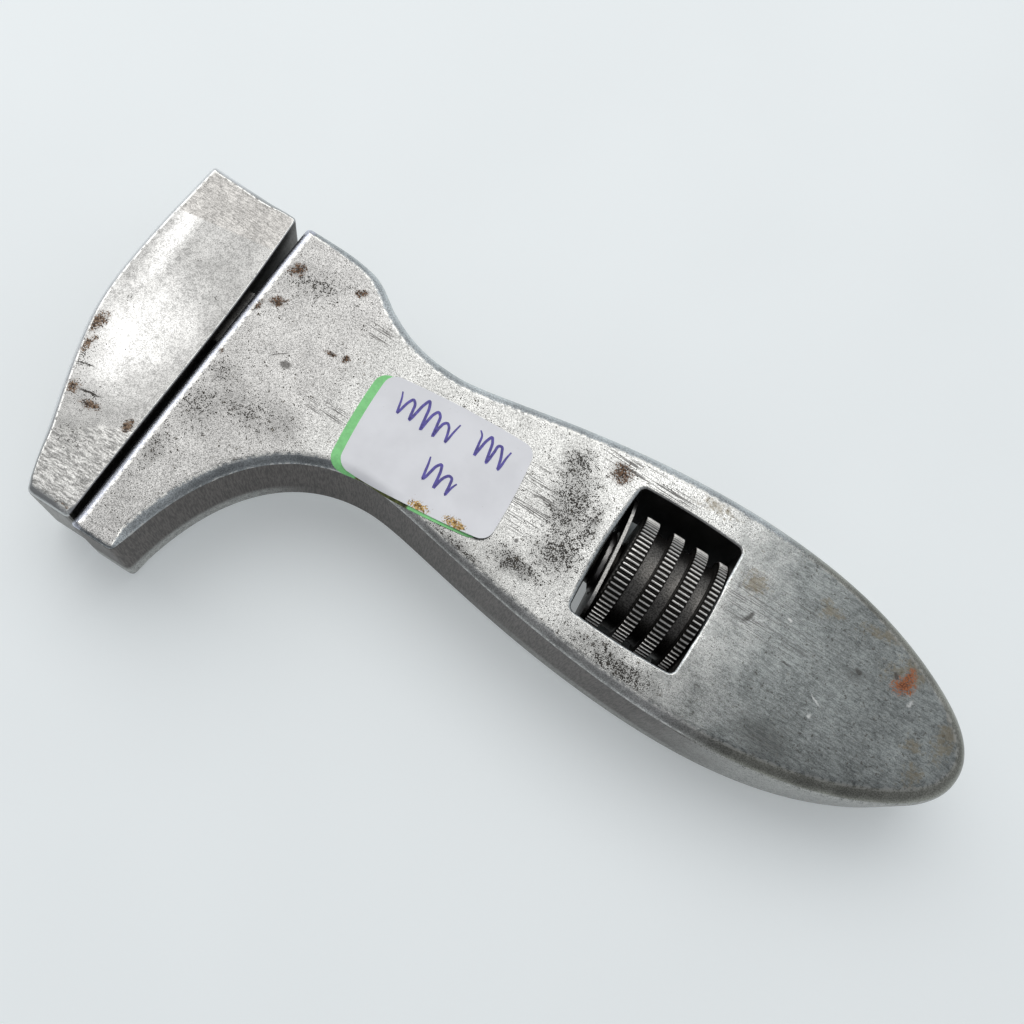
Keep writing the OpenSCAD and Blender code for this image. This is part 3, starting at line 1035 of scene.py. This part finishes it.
def jaw_steel():
    g = Graph("worn_jaw_steel", (0.34, 0.337, 0.328), 0.25)
    ragged = g.warped(0.8, 0.35)
    fine, coarse, cloud, level, brushed = grain(g)
    filed = g.noise(0.2, 2, 0.6, stretch=(5, 1, 1), place=g.warped(1.5, 0.3))
    heel = g.ramp(g.add(g.y, g.times(g.x, -HEEL_SLOPE)), HEEL_Y + 0.12, HEEL_Y - 0.12)
    tip = g.ramp(g.add(g.y, g.times(g.x, -0.6), g.times(cloud, 2)), 16.6, 17.6)
    # Painted highlight: lighter patches where a slightly crowned face would catch the softbox
    g.cover(g.spots(g.warped(3, 1.2), JAW_HIGHLIGHTS, 0.9), (0.68, 0.675, 0.66))
    g.cover(heel, (0.36, 0.35, 0.335), 0.32)
    g.cover(tip, (0.46, 0.455, 0.44), 0.34)
    g.shade(g.ramp(fine, 0.3, 0.7, 0.68, 1.3))
    g.shade(g.ramp(coarse, 0.3, 0.7, 0.84, 1.16))
    g.shade(g.ramp(cloud, 0.3, 0.7, 0.86, 1.14))
    g.shade(g.blend(heel, 1.0, g.ramp(brushed, 0.35, 0.65, 0.8, 1.2)))
    g.shade(g.blend(tip, 1.0, g.ramp(filed, 0.38, 0.62, 0.62, 1.35)))

    grime = g.spots(ragged, JAW_GRIME, 0.8)
    pits = g.ramp(g.add(level, g.times(grime, 0.09)), 0.66, 0.74)
    g.cover(pits, PIT, 0.5)
    g.cover(g.spots(ragged, JAW_SCRATCHES, 0.5), (0.06, 0.055, 0.05), 0.5)
    brown = g.mix(g.ramp(g.noise(0.22, 2, 0.6), 0.4, 0.6), (0.05, 0.032, 0.022), (0.30, 0.20, 0.13))
    g.cover(eaten(g, level, g.spots(ragged, JAW_RUST, 0.9), 0.17), brown, 0.7, 0.3)

    flat = g.size(g.lean_z)
    # Partly painted reflection: the rims are lighter than the face, most of all on the outer side
    rim_colour = g.mix(g.ramp(g.x, 6, 9), (0.55, 0.56, 0.56), (0.78, 0.79, 0.80))
    g.cover(g.between(flat, 0.3, 0.95, 0.03), rim_colour, 0.28)
    # Painted highlight: a bright, broken line where the rim starts to round off
    rim_highlight = g.times(g.between(flat, 0.95, 0.99, 0.01), g.ramp(coarse, 0.42, 0.48))
    g.cover(rim_highlight, (0.85, 0.85, 0.82), 0.22)
    wall = g.ramp(flat, 0.45, 0.2)
    across = g.noise(0.14, 2, 0.6, stretch=(1, 1, 8))
    g.cover(wall, g.mix(g.ramp(across, 0.35, 0.65), (0.16, 0.155, 0.15), (0.31, 0.30, 0.285)), 0.4)
    darken_grip(g, g.times(g.ramp(g.lean_x, -0.7, -0.9), g.ramp(g.x, -1.0, 0.0)), level)

    shank = g.ramp(g.x, 0.4, 0.2)
    g.cover(shank, (0.30, 0.29, 0.28), 0.36)
    # Painted shade: near-black on the stretch of shank that sits in the slot between the jaws
    g.cover(g.times(shank, g.ramp(g.x, -2.0, -0.6)), RECESS_SHADE, 0.6, 0.6)
    radius, crest = g.vector("LENGTH", g.scaled(g.place, (0, 1, 1))), THREAD_D / 2
    groove = g.times(g.ramp(g.x, SHANK_END + 0.1, SHANK_END - 0.1), g.ramp(radius, crest - 0.15, crest - 0.5))
    g.cover(groove, (0.04, 0.037, 0.033), 0.5)
    relief = g.add(g.times(fine, 0.7), coarse, g.times(brushed, heel, 0.5), g.times(filed, tip))
    g.height = g.add(relief, g.times(pits, -0.3))
    return g.done(0.012)


def nut_steel():
    """Bright crests on the knurl, dark oil and dirt in its valleys and in the plain grooves."""
    g = Graph("knurled_nut_steel", (0.12, 0.115, 0.108), 0.42)
    fine = g.noise(0.16, 3, 0.65)
    cloud = g.noise(1.4, 2, 0.6)
    radius = g.vector("LENGTH", g.scaled(g.place, (0, 1, 1)))
    ring = nut_high[2]
    g.shade(g.ramp(fine, 0.3, 0.7, 0.4, 1.8))
    shoulder = g.between(radius, NUT_GROOVE_D / 2 + 0.02, NUT_GROOVE_D / 2 + 0.16, 0.03)
    g.cover(g.times(shoulder, g.ramp(cloud, 0.54, 0.62)), (0.22, 0.21, 0.2), 0.4)
    g.cover(g.between(radius, ring - 0.4, ring - 0.16, 0.03), (0.03, 0.028, 0.026))
    crest = g.times(g.ramp(radius, ring - 0.14, ring - 0.05), g.ramp(fine, 0.32, 0.45, 0.6, 1.0))
    g.cover(crest, g.mix(cloud, (0.60, 0.59, 0.57), (0.85, 0.84, 0.81)), 0.34)
    g.height = g.add(fine, g.times(cloud, 0.5))
    return g.done(0.012)


def plate_steel():
    g = Graph("spring_plate_steel", (0.11, 0.105, 0.10), 0.42)
    fine = g.noise(0.15, 3, 0.65)
    g.shade(g.ramp(fine, 0.3, 0.7, 0.45, 1.5))
    # Painted highlight: the sheet's edges lighter than its faces
    edge = g.ramp(g.size(g.lean_x), 0.7, 0.4)
    g.cover(edge, g.mix(g.ramp(fine, 0.35, 0.7), (0.26, 0.255, 0.245), (0.52, 0.51, 0.49)), 0.35)
    g.height = fine
    return g.done(0.01)


# ------------------------ paper


def green_paper():
    g = Graph("green_label_paper", (0.28, 0.76, 0.29), 0.55, 0.0)
    fibre = g.noise(0.5, 4, 0.6)
    g.shade(g.ramp(fibre, 0.3, 0.7, 0.9, 1.08))
    torn = g.times(g.between(g.x, -26.4, -20.2, 0.15), g.ramp(g.y, 5.5, 6.0))
    g.cover(torn, g.mix(g.ramp(fibre, 0.35, 0.65), (0.03, 0.035, 0.012), (0.16, 0.18, 0.05)), 0.7)
    g.height = fibre
    return g.done(0.008)


def white_paper():
    g = Graph("white_label_paper", (0.905, 0.91, 0.945), 0.5, 0.0)
    fibre = g.noise(0.5, 4, 0.6)
    g.shade(g.ramp(g.noise(5, 3, 0.6), 0.3, 0.7, 0.95, 1.03))
    specks = g.ramp(g.noise(0.3, 2, 0.5), 0.74, 0.8)
    g.cover(g.times(specks, 0.6), (0.55, 0.51, 0.50))
    fray = g.spots(g.place, [(-27.3, 7.4, 1.9, 1.0, 0), (-31.4, 6.9, 2.2, 1.1, 0)], 0.8)
    stain = g.add(g.noise(0.18, 2, 0.6), g.times(fray, 0.3))
    rusty = g.times(g.ramp(stain, 0.62, 0.70), g.ramp(fray, 0.02, 0.3))
    g.cover(rusty, g.mix(g.ramp(g.noise(0.3), 0.4, 0.6), (0.22, 0.12, 0.03), (0.75, 0.50, 0.20)), 0.8)
    g.height = fibre
    return g.done(0.006)


def pen_ink():
    g = Graph("violet_ink", (0.10, 0.08, 0.38), 0.45, 0.0)
    g.shade(g.ramp(g.noise(0.3, 3, 0.6), 0.3, 0.7, 0.7, 1.35))
    g.height = g.noise(0.2, 2)
    return g.done(0.003)


# ------------------------ pieces on their bodies

for piece, rides_on, stands_for, slot, material in (
    (body, "body", "body", "satin_steel", body_steel()),
    (moving_jaw, "moving_jaw", "moving_jaw", "bright_steel", jaw_steel()),
    (nut, "adjusting_nut", "adjusting_nut", "dark_steel", nut_steel()),
    (spring, "body", "spring_plate", "spring_steel", plate_steel()),
    (green_label, "body", "lower_label", "green_paper", green_paper()),
    (white_label, "body", "upper_label", "white_paper", white_paper()),
):
    piece.data.materials.clear()
    piece.data.materials.append(material)
    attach(piece, rides_on)
    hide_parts(stands_for)
white_label.data.materials.append(pen_ink())
add_ink(white_label, [pen_stroke(points) for points in INK])

# ------------------------ stage, light and camera


def floor_piece():
    """A pale table that glows a little, so that shadows stay soft, but not under the nut and beside it."""
    size, drop = 1500, 0.02
    z = nut_low[2] - drop
    corners = [(-size, -size, z), (size, -size, z), (size, size, z), (-size, size, z)]
    floor = mesh_piece("floor", corners, [[0, 1, 2, 3]])
    g = Graph("pale_table", (0.74, 0.775, 0.785), 0.8, 0.0)
    g.height = g.noise(3, 3)
    g.shade(g.ramp(g.noise(40, 2), 0.3, 0.7, 0.99, 1.01))
    nut_x, nut_size = (nut_low[0] + nut_high[0]) / 2, nut_high[0] - nut_low[0]
    under = g.most(g.spot(g.place, nut_x, 0, 1.1 * nut_size, 2.4 * nut_high[2], soft=0.1),
                   g.times(g.between(g.x, -58, -44, 0.5), g.between(g.y, -9, -3, 0.5)))
    g.done(0.01)
    g.link(g.colour, g.shader.inputs["Emission Color"])
    g.link(g.ramp(under, 0, 1, 0.335, 0), g.shader.inputs["Emission Strength"])
    floor.data.materials.append(g.material)


def area_light(name, towards, far, size, radiance, colour):
    """A rectangular light at a distance in a direction from the wrench, with its long side along X."""
    back = Vector(towards).normalized()
    across = (Vector((1, 0, 0)) - back.x * back).normalized()
    up = back.cross(across)
    data = bpy.data.lights.new(name, "AREA")
    data.shape = "RECTANGLE"
    data.size, data.size_y = (s * MM for s in size)
    data.energy = radiance * math.pi * data.size * data.size_y
    data.color = colour
    light = bpy.data.objects.new(name, data)
    light.location = back * far * MM
    light.rotation_euler = Matrix((across, up, back)).transposed().to_euler()
    bpy.context.scene.collection.objects.link(light)


floor_piece()
area_light("softbox", towards=(0.42, -0.37, 0.82), far=470, size=(760, 420), radiance=1.4,
           colour=(1.0, 0.99, 0.975))


def studio_world():
    """A dim room, lighter towards the window side, -Y, and darker on the hand's side, +Y."""
    made = bpy.data.worlds.new("studio")
    made.use_nodes = True
    nodes, links = made.node_tree.nodes, made.node_tree.links
    direction = nodes.new("ShaderNodeTexCoord").outputs["Generated"]
    parts = nodes.new("ShaderNodeSeparateXYZ")
    links.new(direction, parts.inputs[0])
    ramp = nodes.new("ShaderNodeMapRange")
    ramp.interpolation_type = "SMOOTHSTEP"
    ramp.inputs["From Min"].default_value = 0.9
    ramp.inputs["From Max"].default_value = -1.0
    links.new(parts.outputs["Y"], ramp.inputs["Value"])
    mix = nodes.new("ShaderNodeMix")
    mix.data_type = "RGBA"
    links.new(ramp.outputs[0], mix.inputs[0])
    mix.inputs[6].default_value = (0.20, 0.205, 0.215, 1)
    mix.inputs[7].default_value = (0.56, 0.58, 0.60, 1)
    links.new(mix.outputs[2], nodes["Background"].inputs["Color"])
    return made


bpy.context.scene.world = studio_world()
bpy.context.scene.view_settings.view_transform = "Standard"

CAMERA_AT = (-40.155, 36.338, 113.827)
CAMERA_TURN = (15.96, -7.401, -148.12)  # degrees about X, Y and Z
camera_data = bpy.data.cameras.new("camera")
camera_data.lens = 38.67
camera_data.sensor_width = 36
camera_data.clip_start = 0.005
camera = bpy.data.objects.new("camera", camera_data)
camera.location = Vector(CAMERA_AT) * MM
camera.rotation_euler = Euler([math.radians(a) for a in CAMERA_TURN])
bpy.context.scene.collection.objects.link(camera)
bpy.context.scene.camera = camera
